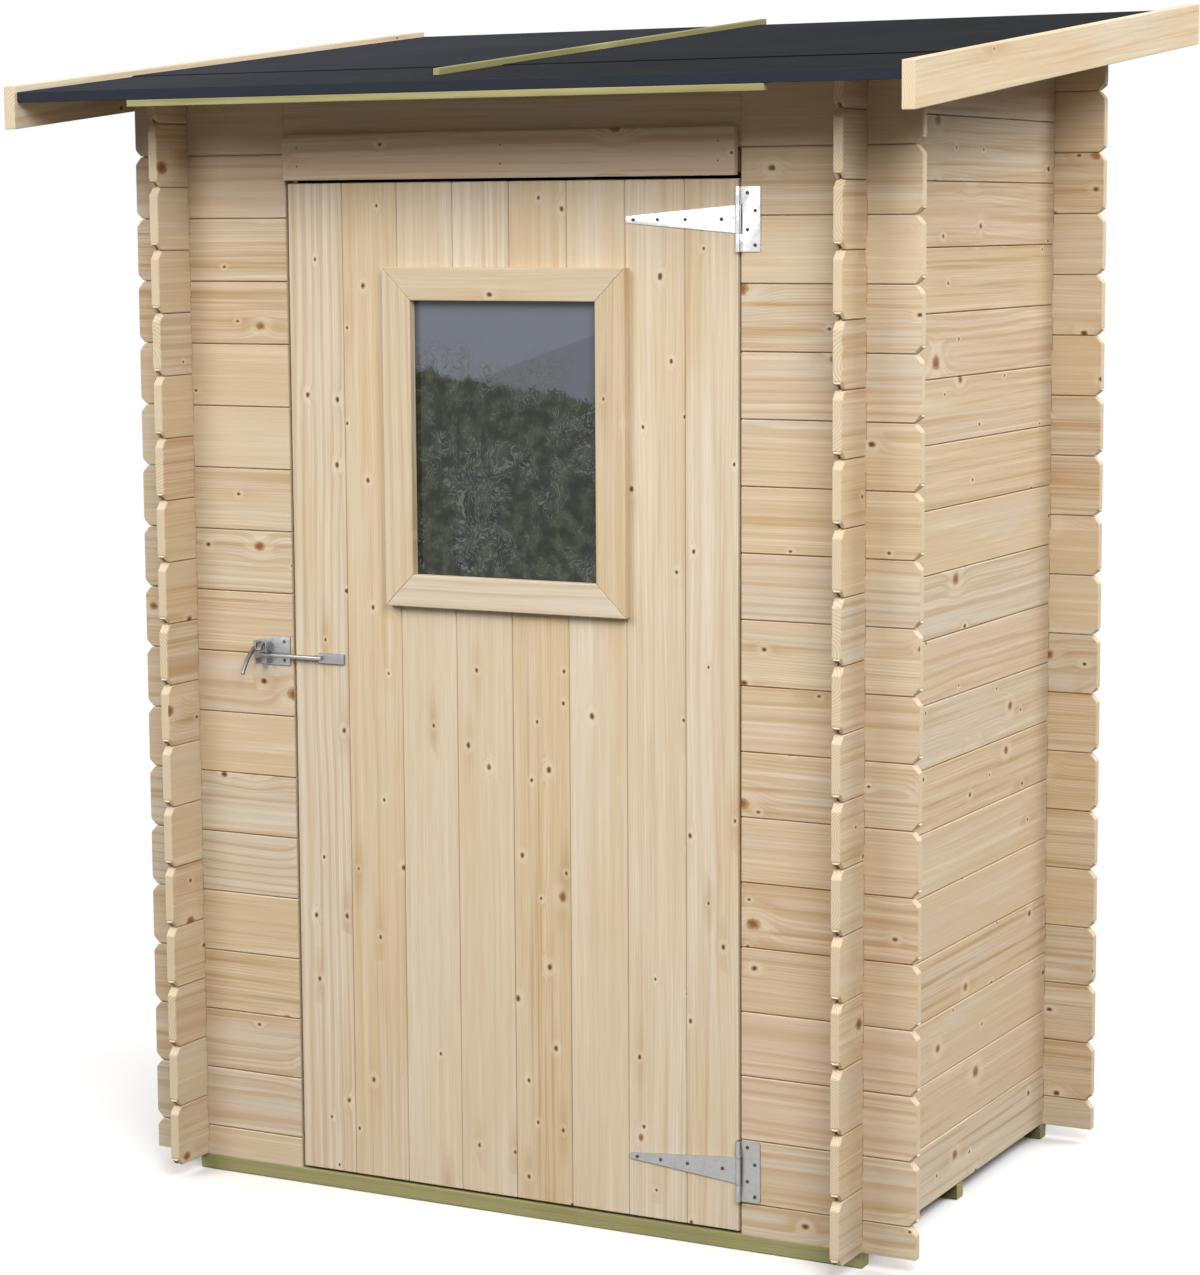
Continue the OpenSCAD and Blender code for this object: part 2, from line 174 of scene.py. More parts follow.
class Editing:
    """Edit mode on one piece, with nothing selected at first."""

    def __init__(self, piece):
        self.piece = piece

    def __enter__(self):
        deselect()
        self.piece.select_set(True)
        bpy.context.view_layer.objects.active = self.piece
        bpy.ops.object.mode_set(mode="EDIT")
        bpy.ops.mesh.select_mode(type="FACE")
        bpy.ops.mesh.select_all(action="DESELECT")
        return self

    def __exit__(self, *_):
        bpy.ops.object.mode_set(mode="OBJECT")

    def pick(self, kind, test):
        """Selects the verts, edges or faces that pass a test, and nothing else."""
        bpy.ops.mesh.select_mode(type={"verts": "VERT", "edges": "EDGE", "faces": "FACE"}[kind])
        bpy.ops.mesh.select_all(action="DESELECT")
        mesh = bmesh.from_edit_mesh(self.piece.data)
        mesh.normal_update()
        for element in getattr(mesh, kind):
            if test(element):
                element.select_set(True)
        mesh.select_flush_mode()
        bmesh.update_edit_mesh(self.piece.data)

    def cut(self, point, normal, keep_both=False):
        """Cuts through everything. What lies on the normal's side goes, unless both sides are kept."""
        bpy.ops.mesh.select_all(action="SELECT")
        bpy.ops.mesh.bisect(plane_co=point, plane_no=normal, use_fill=not keep_both, clear_outer=not keep_both)


def modify(piece, kind, **settings):
    """Adds a modifier and applies it."""
    modifier = piece.modifiers.new(kind.title(), kind)
    for name, value in settings.items():
        setattr(modifier, name, value)
    deselect()
    piece.select_set(True)
    bpy.context.view_layer.objects.active = piece
    bpy.ops.object.modifier_apply(modifier=modifier.name)


def round_edges(piece, width, segments=1):
    modify(piece, "BEVEL", width=width, segments=segments, limit_method="ANGLE", angle_limit=math.radians(35),
           miter_outer="MITER_SHARP")


def carve(piece, *cutters):
    """Takes each cutter's shape out of a piece."""
    for cutter in cutters:
        modify(piece, "BOOLEAN", operation="DIFFERENCE", object=cutter, solver="EXACT")
        bpy.data.objects.remove(cutter)


def copy_at(piece, shift):
    """A copy with its own mesh, moved by a shift."""
    new = piece.copy()
    new.data = piece.data.copy()
    bpy.context.scene.collection.objects.link(new)
    deselect()
    new.select_set(True)
    bpy.context.view_layer.objects.active = new
    bpy.ops.transform.translate(value=shift)
    bpy.ops.object.transform_apply(location=True, rotation=True, scale=True)
    return new


def join(name, pieces):
    deselect()
    for piece in pieces:
        piece.select_set(True)
    bpy.context.view_layer.objects.active = pieces[0]
    if len(pieces) > 1:
        bpy.ops.object.join()
    pieces[0].name = pieces[0].data.name = name
    return pieces[0]


def from_cad(name, node):
    """A clean copy of a construction node: its triangles are merged into whole faces."""
    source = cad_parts[node]
    piece = bpy.data.objects.new(name, source.data.copy())
    piece.data.name = name
    piece.data.materials.clear()
    bpy.context.scene.collection.objects.link(piece)
    with Editing(piece):
        bpy.ops.mesh.select_all(action="SELECT")
        bpy.ops.mesh.remove_doubles(threshold=0.00002)
        bpy.ops.mesh.dissolve_limited(angle_limit=math.radians(1))
    return piece


def tilt(piece, y0):
    """Makes a level piece follow the roof: the vertices behind y0 rise with the slope."""
    heights = sorted({round(v.co.y, 6) for v in piece.data.vertices})
    with Editing(piece) as edit:
        for y in heights:
            edit.pick("verts", lambda v: abs(v.co.y - y) < 1e-5)
            bpy.ops.transform.translate(value=(0, 0, (y - y0) * SLOPE))


def add(piece, body, material, slot, *nodes):
    """Puts a finished piece on its body with its material, and hides the construction nodes that it stands for."""
    piece.data.materials.clear()
    piece.data.materials.append(material)
    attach(piece, body)
    if nodes:
        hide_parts(*nodes)
    return piece


# ---------------------------------------------------------------- wood grain

def islands(mesh):
    """The separate boards of a mesh, each as a list of vertex numbers."""
    parent = list(range(len(mesh.vertices)))

    def root(i):
        while parent[i] != i:
            parent[i] = parent[parent[i]]
            i = parent[i]
        return i

    for edge in mesh.edges:
        a, b = root(edge.vertices[0]), root(edge.vertices[1])
        if a != b:
            parent[a] = b
    groups = {}
    for i in range(len(parent)):
        groups.setdefault(root(i), []).append(i)
    return [groups[key] for key in sorted(groups)]


def give_grain(piece, along):
    """Gives every board of a piece its own stretch of timber.

    grain_at is a point's place in the tree: along the trunk, and across it from the pith.
    board_tone holds three numbers that are the same all over a board, and end_grain is 1
    where a face cuts across the trunk."""
    mesh = piece.data
    pick = random.Random(f"{piece.name} {sizes().seed}")
    along = Vector(along).normalized()
    side = along.cross(Vector((0, 0, 1)))
    side = (side if side.length > 0.5 else along.cross(Vector((0, 1, 0)))).normalized()
    upright = side.cross(along)
    grain = mesh.attributes.new("grain_at", "FLOAT_VECTOR", "POINT")
    tone = mesh.attributes.new("board_tone", "FLOAT_VECTOR", "POINT")
    for members in islands(mesh):
        points = [mesh.vertices[i].co for i in members]
        spans = []
        for direction in (side, upright):
            reach = [p.dot(direction) for p in points]
            spans.append((max(reach) - min(reach), (max(reach) + min(reach)) / 2, direction))
        thin, wide = sorted(spans, key=lambda s: s[0])
        offset = pick.uniform(0, 40)
        pith_across = pick.uniform(-0.45, 0.45) * wide[0]
        pith_deep = pick.choice((-1, 1)) * pick.uniform(0.02, 0.05)
        tones = (pick.random(), pick.random(), pick.random())
        for i, p in zip(members, points):
            grain.data[i].vector = (p.dot(along) + offset, p.dot(wide[2]) - wide[1] - pith_across,
                                    p.dot(thin[2]) - thin[1] - pith_deep)
            tone.data[i].vector = tones
    ends = mesh.attributes.new("end_grain", "FLOAT", "CORNER")
    for face in mesh.polygons:
        across = 1.0 if abs(face.normal.dot(along)) > 0.72 else 0.0
        for corner in face.loop_indices:
            ends.data[corner].value = across
    return piece


# ---------------------------------------------------------------- materials

class Recipe:
    """A material whose nodes are added a step at a time."""

    def __init__(self, name, roughness, metallic=0.0, specular=0.5):
        self.material = bpy.data.materials.new(name)
        self.material.use_nodes = True
        self.tree = self.material.node_tree
        self.shader = self.tree.nodes["Principled BSDF"]
        self.shader.inputs["Roughness"].default_value = roughness
        self.shader.inputs["Metallic"].default_value = metallic
        self.shader.inputs["Specular IOR Level"].default_value = specular

    def node(self, kind, inputs=(), **settings):
        made = self.tree.nodes.new(kind)
        for name, value in settings.items():
            setattr(made, name, value)
        for key, value in dict(inputs).items():
            self.feed(made.inputs[key], value)
        return made

    def feed(self, socket, value):
        if isinstance(value, bpy.types.NodeSocket):
            self.tree.links.new(value, socket)
        elif isinstance(value, (int, float)) or len(socket.default_value) == len(value):
            socket.default_value = value
        else:
            socket.default_value = (*value, 1.0)

    def math(self, operation, a, b=0.0, c=0.0, clamp=False):
        made = self.node("ShaderNodeMath", operation=operation, use_clamp=clamp)
        for socket, value in zip(made.inputs, (a, b, c)):
            self.feed(socket, value)
        return made.outputs[0]

    def vector(self, x, y, z):
        return self.node("ShaderNodeCombineXYZ", {"X": x, "Y": y, "Z": z}).outputs[0]

    def parts(self, value):
        return self.node("ShaderNodeSeparateXYZ", {"Vector": value}).outputs

    def attribute(self, name, output="Vector"):
        return self.node("ShaderNodeAttribute", attribute_name=name).outputs[output]

    def noise(self, where, scale=1.0, detail=2.0, rough=0.5):
        return self.node("ShaderNodeTexNoise", {"Vector": where, "Scale": scale, "Detail": detail,
                                                "Roughness": rough}).outputs["Fac"]

    def between(self, value, low, high, to_low=0.0, to_high=1.0, smooth=True):
        """A value's place between low and high, from to_low to to_high."""
        kind = "SMOOTHSTEP" if smooth else "LINEAR"
        made = self.node("ShaderNodeMapRange", {"Value": value}, interpolation_type=kind)
        for key, number in zip(("From Min", "From Max", "To Min", "To Max"), (low, high, to_low, to_high)):
            self.feed(made.inputs[key], number)
        return made.outputs[0]

    def mix(self, share, a, b, blend="MIX"):
        made = self.node("ShaderNodeMix", data_type="RGBA", blend_type=blend)
        self.feed(made.inputs["Factor"], share)
        self.feed(made.inputs[6], a)
        self.feed(made.inputs[7], b)
        return made.outputs[2]

    def bump(self, height, strength, distance):
        made = self.node("ShaderNodeBump", {"Height": height, "Strength": strength, "Distance": distance})
        self.tree.links.new(made.outputs["Normal"], self.shader.inputs["Normal"])

    def finish(self, colour_value):
        self.feed(self.shader.inputs["Base Color"], colour_value)
        return self.material


def timber(name, palette, late, small, large, figure=1.0, sheen_low=0.5, sheen_high=0.68):
    """Planed timber with growth rings, streaks, fibres, knots with pale halos, and resin.

    palette has four colours that a board drifts between, that of its pale streaks and that of
    its sawn ends, and late is the late wood's. small
    and large say how the knots of each kind lie: the length and width of the patch of board
    that may hold one, the share of patches that do, and the least and greatest radius."""
    c = colours()
    r = Recipe(name, 0.6, specular=0.3)
    u, v, w = r.parts(r.attribute("grain_at"))
    tone_a, tone_b, tone_c = r.parts(r.attribute("board_tone"))
    end = r.attribute("end_grain", "Fac")
    flat_knots = r.math("SUBTRACT", 1.0, end)

    def bell(value, width):
        squared = r.math("POWER", r.math("DIVIDE", value, width), 2.0)
        return r.math("EXPONENT", r.math("MULTIPLY", squared, -1.0))

    def times(*values):
        product = values[0]
        for value in values[1:]:
            product = r.math("MULTIPLY", product, value)
        return product

    wobble = r.math("MULTIPLY", r.math("SUBTRACT", r.noise(r.vector(u, v, w), 150.0, 2.0), 0.5), 0.7)

    def knots(cell_long, cell_wide, share, least, greatest, shift):
        """Distance from the nearest knot in its own radii, whether it is there, and its resin."""
        grid = r.vector(r.math("DIVIDE", r.math("ADD", u, shift), cell_long), r.math("DIVIDE", v, cell_wide), 0.0)
        cells = r.node("ShaderNodeTexVoronoi", {"Vector": grid, "Scale": 1.0, "Randomness": 0.9},
                       voronoi_dimensions="2D", feature="F1")
        chance, spread, flame = r.parts(cells.outputs["Color"])
        off = r.node("ShaderNodeVectorMath", operation="SUBTRACT")
        r.feed(off.inputs[0], grid)
        r.feed(off.inputs[1], cells.outputs["Position"])
        off_long, off_wide, _ = r.parts(off.outputs[0])
        long_way = r.math("MULTIPLY", off_long, cell_long)
        wide_way = r.math("MULTIPLY", off_wide, cell_wide)
        knotty = r.between(tone_b, 0.0, 1.0, 0.25 * share, 1.5 * share, smooth=False)
        present = times(r.math("LESS_THAN", chance, knotty), flat_knots)
        size = r.between(r.math("POWER", spread, 1.7), 0.0, 1.0, least, greatest, smooth=False)
        away = r.math("SQRT", r.math("ADD", r.math("MULTIPLY", r.math("POWER", long_way, 2.0), 0.55),
                                     r.math("POWER", wide_way, 2.0)))
        away = r.math("ADD", r.math("DIVIDE", away, size), wobble)
        resin = times(bell(wide_way, 0.010), bell(long_way, 0.055), present, r.between(flame, 0.35, 1.0, 0.0, 0.6))
        return away, present, size, resin

    fine = knots(*small, 0.0)
    thick = knots(*large, 17.3)

    # Growth rings about the pith, which wanders along the trunk and bends round the knots.
    wander = r.noise(r.vector(r.math("MULTIPLY", u, 1.1), r.math("MULTIPLY", v, 5.0), r.math("MULTIPLY", w, 5.0)),
                     1.0, 3.0, 0.45)
    v_bent = r.math("ADD", v, r.math("MULTIPLY", r.math("SUBTRACT", wander, 0.5), 0.055))
    reach = r.math("SQRT", r.math("ADD", r.math("POWER", v_bent, 2.0), r.math("POWER", w, 2.0)))
    for away, present, size, _ in (fine, thick):
        reach = r.math("ADD", reach, times(bell(away, 3.0), present, size, 2.2))
    spacing = r.between(tone_c, 0.0, 1.0, 0.0028, 0.0062, smooth=False)
    ring = r.math("FRACT", r.math("DIVIDE", reach, spacing))
    late_wood = times(r.between(ring, 0.2, 0.86), r.between(ring, 1.0, 0.9))

    # A board drifts slowly between four colours.
    def drift(long_scale, wide_scale, tone, pull):
        cloud = r.noise(r.vector(r.math("MULTIPLY", u, long_scale), r.math("MULTIPLY", v, wide_scale),
                                 r.math("MULTIPLY", tone, 9.0)), 1.0, 3.0, 0.55)
        return r.between(r.math("ADD", cloud, r.math("MULTIPLY", r.math("SUBTRACT", tone, 0.5), pull)), 0.35, 0.65)

    warm = drift(2.2, 11.0, tone_a, 0.45)
    pink = drift(1.7, 15.0, tone_c, 0.4)
    shade = r.mix(pink, r.mix(warm, palette[0], palette[1]), r.mix(warm, palette[2], palette[3]))

    # Soft streaks, late wood and fibres.
    streak = r.noise(r.vector(r.math("MULTIPLY", u, 1.5), r.math("MULTIPLY", v, 85.0), r.math("MULTIPLY", w, 30.0)),
                     1.0, 3.0, 0.6)
    shade = r.mix(times(r.between(streak, 0.5, 0.72), r.between(tone_b, 0.0, 1.0, 0.15, 0.75 * figure)), shade, late)
    shade = r.mix(r.between(streak, 0.48, 0.3, 0.0, 0.4), shade, palette[4])
    wave = r.math("SINE", r.math("MULTIPLY", reach, 2 * math.pi / 0.017))
    shade = r.mix(times(r.between(wave, 0.1, 0.95), r.between(tone_c, 0.4, 0.8, 0.0, 0.34 * figure)), shade, late)
    strong = r.between(tone_b, 0.0, 1.0, 0.08 * figure, 0.30 * figure, smooth=False)
    shade = r.mix(r.math("MULTIPLY", late_wood, strong), shade, late)
    fibre = r.noise(r.vector(r.math("MULTIPLY", u, 9.0), r.math("MULTIPLY", v, 420.0), r.math("MULTIPLY", w, 420.0)),
                    1.0, 3.0, 0.6)
    shade = r.mix(r.between(fibre, 0.35, 0.75, 0.0, 0.2), shade, late)

    # Knots: resin along the board, a pale halo, a brown rim and a darker heart.
    relief = r.math("ADD", r.math("MULTIPLY", late_wood, 0.5), r.math("MULTIPLY", fibre, 0.7))
    for (away, present, _, resin), rim_colour, heart_colour in ((thick, c.branch, c.branch_core),
                                                                (fine, c.knot, c.knot_core)):
        shade = r.mix(resin, shade, late)
        shade = r.mix(times(bell(r.math("SUBTRACT", away, 1.9), 1.2), present, 0.26), shade, palette[4])
        shade = r.mix(times(r.between(away, 1.3, 0.8), present), shade, rim_colour)
        heart = times(r.between(away, 0.85, 0.35), present)
        shade = r.mix(heart, shade, heart_colour)
        relief = r.math("SUBTRACT", relief, r.math("MULTIPLY", heart, 0.8))

    # Sawn ends are paler and show the rings as arcs.
    sawn = r.mix(r.math("MULTIPLY", late_wood, 0.45), palette[5], late)
    shade = r.mix(r.math("MULTIPLY", end, 0.85), shade, sawn)

    r.feed(r.shader.inputs["Roughness"], r.between(late_wood, 0.0, 1.0, sheen_high, sheen_low))
    r.bump(relief, 0.22, 0.0006)
    return r.finish(shade)


def wall_timber():
    c = colours()
    return timber("wall_timber", (c.straw, c.cream, c.rose, c.grey, c.halo, c.end_grain), c.honey,
                  (0.16, 0.08, 0.42, 0.0024, 0.0052), (0.5, 0.10, 0.5, 0.006, 0.012), 1.25)


def door_timber():
    c = colours()
    return timber("door_timber", (c.cream * 1.03, c.straw * 1.05, c.pale, c.grey * 1.12, c.halo, c.end_grain),
                  c.honey,
                  (0.12, 0.065, 0.62, 0.0022, 0.0046), (0.7, 0.12, 0.3, 0.004, 0.008), 1.0)


def trim_timber():
    c = colours()
    return timber("trim_timber", (c.cream * 0.96, c.straw, c.pale * 0.93, c.cream, c.halo * 0.95, c.end_grain), c.honey,
                  (0.2, 0.08, 0.25, 0.0020, 0.0040), (0.9, 0.12, 0.12, 0.004, 0.007), 0.8)


def treated_timber():
    c = colours()
    return timber("treated_timber", (c.moss, c.moss_pale, c.moss, c.moss_pale, c.moss_pale, c.moss_pale),
                  c.moss * 0.5,
                  (0.4, 0.1, 0.2, 0.002, 0.004), (0.9, 0.12, 0.1, 0.004, 0.006), 1.2)


def roofing_felt():
    """Bitumen felt with fine slate granules, rubbed a little paler in patches, with a painted sheen paler towards the
    left and a painted highlight on the front fold.
    """
    c = colours()
    r = Recipe("roofing_felt", 0.85, specular=0.06)
    place = r.node("ShaderNodeTexCoord").outputs["Object"]
    grit = r.node("ShaderNodeTexVoronoi", {"Vector": place, "Scale": 900.0}).outputs["Distance"]
    patch = r.noise(place, 3.5, 4.0, 0.6)
    speck = r.noise(place, 700.0, 2.0, 0.7)
    shade = r.mix(r.between(patch, 0.3, 0.75, 0.0, 0.6), c.felt, c.felt * 1.8)
    # Painted sheen: the felt is painted paler towards the left, where the roof catches a glossy reflection.
    shade = r.mix(r.between(r.parts(place)[0], 0.5, -0.9), shade, c.felt * 4.5)
    # Painted highlight: the felt is painted paler on its front fold, where it faces the light.
    fold = r.between(r.parts(place)[1], FELT_LOW.y + 0.0016, FELT_LOW.y + 0.0008)
    shade = r.mix(r.math("MULTIPLY", fold, 0.8), shade, c.felt * 7.0)
    shade = r.mix(r.between(speck, 0.55, 0.8, 0.0, 0.45), shade, c.felt * 3.2)
    r.feed(r.shader.inputs["Roughness"], r.between(patch, 0.3, 0.7, 0.8, 0.92))
    r.bump(r.math("ADD", r.math("MULTIPLY", grit, 0.8), r.math("MULTIPLY", patch, 1.2)), 0.4, 0.0008)
    return r.finish(shade)


def zinc_plate(name, base, low, high):
    """Zinc-plated steel: soft spangles and faint scratches."""
    r = Recipe(name, 0.3, metallic=1.0)
    place = r.node("ShaderNodeTexCoord").outputs["Object"]
    spangle = r.node("ShaderNodeTexVoronoi", {"Vector": place, "Scale": 240.0}).outputs["Color"]
    cloud = r.noise(place, 60.0, 4.0, 0.6)
    scratch = r.noise(r.node("ShaderNodeMapping", {"Vector": place, "Scale": (40.0, 40.0, 2200.0)}).outputs[0],
                      1.0, 2.0)
    level = r.math("ADD", r.math("MULTIPLY", r.parts(spangle)[0], 0.3), r.math("MULTIPLY", cloud, 0.7))
    r.feed(r.shader.inputs["Roughness"], r.between(level, 0.2, 0.8, low, high))
    r.bump(r.math("ADD", level, r.math("MULTIPLY", scratch, 0.3)), 0.12, 0.0002)
    return r.finish(r.mix(r.between(level, 0.2, 0.8), base * 0.86, base))


def bright_zinc():
    return zinc_plate("bright_zinc", colours().zinc, 0.24, 0.42)


def grey_zinc():
    return zinc_plate("grey_zinc", colours().grey_zinc, 0.3, 0.5)


def dull_zinc():
    return zinc_plate("dull_zinc", colours().dull_zinc, 0.38, 0.6)


# Steel for screw and nail heads, made dark to paint the shade in and round their recesses.
def screw_steel():
    return zinc_plate("screw_steel", colours().screw, 0.35, 0.5)


def window_pane():
    """Glass with a painted reflection of a dim sky above dark leaves."""
    c = colours()
    r = Recipe("window_pane", 0.06, specular=0.5)
    x, _, z = r.parts(r.node("ShaderNodeTexCoord").outputs["Object"])
    middle = (GLASS_LOW.z + GLASS_HIGH.z) / 2
    height = r.math("SUBTRACT", z, middle)
    flat = r.vector(x, 0.0, height)
    bend = r.node("ShaderNodeTexNoise", {"Vector": flat, "Scale": 14.0, "Detail": 3.0})
    bent = r.node("ShaderNodeVectorMath", operation="MULTIPLY_ADD")
    r.feed(bent.inputs[0], bend.outputs["Color"])
    bent.inputs[1].default_value = (0.16, 0.0, 0.16)
    r.feed(bent.inputs[2], flat)
    bent = bent.outputs[0]

    def leaves(angle, along, across):
        turned = r.node("ShaderNodeMapping", {"Vector": bent, "Rotation": (0.0, angle, 0.0),
                                              "Scale": (across, 1.0, along)}).outputs[0]
        return r.noise(turned, 1.0, 3.0, 0.65)

    blades = r.math("MAXIMUM", leaves(0.6, 75.0, 260.0), leaves(-0.9, 65.0, 230.0))
    clump = r.noise(flat, 9.0, 3.0, 0.55)
    dapple = r.noise(flat, 34.0, 4.0, 0.6)

    # The painted reflection's tree line falls a little to the right, with looser twigs above it.
    ridge = r.math("ADD", r.math("MULTIPLY", x, -0.13),
                   r.math("MULTIPLY_ADD", r.noise(r.vector(x, 0.0, 0.0), 16.0, 3.0, 0.6), 0.07, 0.055))
    above = r.math("SUBTRACT", height, ridge)
    ragged = r.math("MULTIPLY_ADD", r.math("SUBTRACT", blades, 0.58), 0.06, above)
    open_sky = r.between(ragged, -0.004, 0.006)
    # Painted reflection of the sky, darker below a slanting line.
    line = r.math("MULTIPLY_ADD", x, -0.34, r.math("SUBTRACT", height, 0.125))
    sky = r.mix(r.between(line, -0.002, 0.002), c.sky * 0.78, c.sky)
    twig_reach = r.math("MULTIPLY", r.between(above, 0.10, 0.0), r.between(clump, 0.42, 0.54))
    sky = r.mix(r.math("MULTIPLY", twig_reach, r.between(blades, 0.52, 0.6, 0.0, 0.85)), sky, c.leaves * 2.2)

    # Painted reflection of the leaves, with painted glints where light leaves catch the light.
    green = r.mix(r.between(dapple, 0.38, 0.62), c.leaves * 0.4, c.leaves * 1.2)
    painted_glint_mask = r.math("MULTIPLY", r.between(clump, 0.47, 0.57), r.between(blades, 0.54, 0.62))
    green = r.mix(r.math("MULTIPLY", painted_glint_mask, 0.9), green, c.painted_glint)
    stray = r.math("MULTIPLY", r.between(dapple, 0.46, 0.6), r.between(blades, 0.55, 0.64))
    green = r.mix(r.math("MULTIPLY", stray, 0.55), green, c.leaves * 3.4)
    shade = r.mix(open_sky, green, sky)
    clear = r.node("ShaderNodeBsdfTransparent", {"Color": (0.75, 0.8, 0.8)})
    blend = r.node("ShaderNodeMixShader", {0: 0.12, 1: r.shader.outputs[0], 2: clear.outputs[0]})
    r.tree.links.new(blend.outputs[0], r.tree.nodes["Material Output"].inputs["Surface"])
    return r.finish(shade)


_shelf = {}


def material(recipe):
    """Makes each material once."""
    if recipe.__name__ not in _shelf:
        _shelf[recipe.__name__] = recipe()
    return _shelf[recipe.__name__]


# ---------------------------------------------------------------- parts that repeat

def wall_board(name, axis, low, high, free_low, free_high, crossings):
    """One tongued and grooved wall board.

    axis is 0 along X and 1 along Y. Free ends are chamfered above and below, and each
    crossing is a stretch where only the middle half of the board's height is left."""
    s = sizes()
    across = 1 - axis
    piece = box(name, low, high)
    middle = (low[across] + high[across]) / 2
    side = Vector([0, 0, 0])
    side[across] = 1
    with Editing(piece) as edit:
        for shift in (-s.tongue_t / 2, s.tongue_t / 2):
            edit.cut(side * (middle + shift), side, keep_both=True)

        def strip(up):
            return lambda f: (f.normal.z * up > 0.9
                              and abs(f.calc_center_median()[across] - middle) < s.tongue_t / 2)

        edit.pick("faces", strip(1))
        bpy.ops.mesh.extrude_region_move(TRANSFORM_OT_translate={"value": (0, 0, s.tongue_h)})
        edit.pick("faces", strip(-1))
        bpy.ops.mesh.extrude_region_move(TRANSFORM_OT_translate={"value": (0, 0, s.tongue_h * 1.3)})
        for end, free, way in ((low[axis], free_low, -1), (high[axis], free_high, 1)):
            if not free:
                continue
            for z, up in ((low[2], -1), (high[2], 1)):
                point = Vector((0, 0, z - up * s.chamfer_high))
                point[axis] = end
                normal = Vector((0, 0, up * s.chamfer_long))
                normal[axis] = way * s.chamfer_high
                edit.cut(point, normal)
    quarter = (high[2] - low[2]) / 4
    spare = 0.02
    for start, stop in crossings:
        for z0, z1 in ((low[2] - spare, low[2] + quarter), (high[2] - quarter, high[2] + spare)):
            a = Vector((0, 0, z0))
            b = Vector((0, 0, z1))
            a[axis], b[axis] = start, stop
            a[across], b[across] = low[across] - spare, high[across] + spare
            carve(piece, box("cutter", a, b))
    round_edges(piece, s.round_edge)
    return piece


def stack(name, board, first, last, step, base, roof=True):
    """Copies of a board one course apart, cut level at the base and along the roof."""
    rows = [copy_at(board, (0, 0, n * step)) for n in range(first, last)]
    bpy.data.objects.remove(board)
    wall = join(name, rows)
    with Editing(wall) as edit:
        edit.cut((0, 0, base), (0, 0, -1))
        if roof:
            edit.cut((0, DECK_LOW.y, DECK_LOW.z - 0.0002), (0, -SLOPE, 1))
    return wall


def long_wall(name, y, x0, x1, base, nodes):
    """Front or back wall: its first board is half a course high."""
    s = sizes()
    gap = s.seam
    z = BASE_Z - s.course / 2
    crossings = [(LEFT_LOW.x, LEFT_HIGH.x), (RIGHT_LOW.x, RIGHT_HIGH.x)]
    board = wall_board(name, 0, (x0, y, z + gap), (x1, y + BOARD_T, z + s.course - gap),
                       x0 < LEFT_LOW.x, x1 > RIGHT_HIGH.x, [c for c in crossings if x0 < c[0] and c[1] < x1])
    first = int((base - z) / s.course)
    last = math.ceil((under(y + BOARD_T) - z) / s.course)
    wall = stack(name, board, first, last, s.course, base)
    give_grain(wall, (1, 0, 0))
    return add(wall, "shed", material(wall_timber), "wall_wood", *nodes)


def side_wall(name, low, high, node):
    """Side wall: its boards start with a whole course and cross the front and back walls."""
    s = sizes()
    gap = s.seam
    crossings = [(FRONT_LOW.y, FRONT_HIGH.y), (BACK_LOW.y, BACK_HIGH.y)]
    board = wall_board(name, 1, (low.x, low.y, BASE_Z + gap), (high.x, high.y, BASE_Z + s.course - gap),
                       True, True, crossings)
    last = math.ceil((high.z - BASE_Z) / s.course)
    wall = stack(name, board, 0, last, s.course, BASE_Z)
    give_grain(wall, (0, 1, 0))
    return add(wall, "shed", material(wall_timber), "wall_wood", node)


def plain_board(name, low, high, along, body, wood, slot, nodes=(), edge=None, slope=False):
    """A planed board with eased edges."""
    piece = box(name, low, high)
    if slope:
        tilt(piece, low[1])
    round_edges(piece, edge or sizes().round_edge, 2)
    give_grain(piece, along)
    return add(piece, body, material(wood), slot, *nodes)


def board_row(name, low, high, axis, count, gap, slope=False):
    """Boards side by side between two corners, in a row along X (0) or Y (1)."""
    step = (high[axis] - low[axis]) / count
    first_high = list(high)
    first_high[axis] = low[axis] + step - gap
    board = box(name, low, first_high)
    if slope:
        tilt(board, low[1])
    round_edges(board, sizes().round_edge)
    shift = Vector((0, 0, 0))
    shift[axis] = step
    rows = [copy_at(board, shift * n) for n in range(count)]
    bpy.data.objects.remove(board)
    return join(name, rows)


def screw(name, centre, radius):
    """A round-headed screw with a cross recess, facing the front."""
    head = rod(name, centre, radius, radius * 0.7, "Y", 20)
    with Editing(head) as edit:
        edit.pick("faces", lambda f: f.normal.y < -0.9)
        bpy.ops.mesh.bevel(offset=radius * 0.35, segments=3, affect="EDGES")
    x, y, z = centre
    arm, slot_w, deep = radius * 0.62, radius * 0.2, radius * 0.5
    for wide, high in ((arm, slot_w), (slot_w, arm)):
        carve(head, box("cutter", (x - wide, y - radius, z - high), (x + wide, y - deep * 0.1, z + high)))
    return head


def nail_heads(name, places, body):
    """Small flat nail heads, sunk into the front of the boards."""
    s = sizes()
    head = rod(name, (0, 0, 0), s.nail_r, 0.0006, "Y", 12)
    heads = [copy_at(head, place) for place in places]
    bpy.data.objects.remove(head)
    return add(join(name, heads), body, material(screw_steel), "galvanised_steel")


# ---------------------------------------------------------------- operators

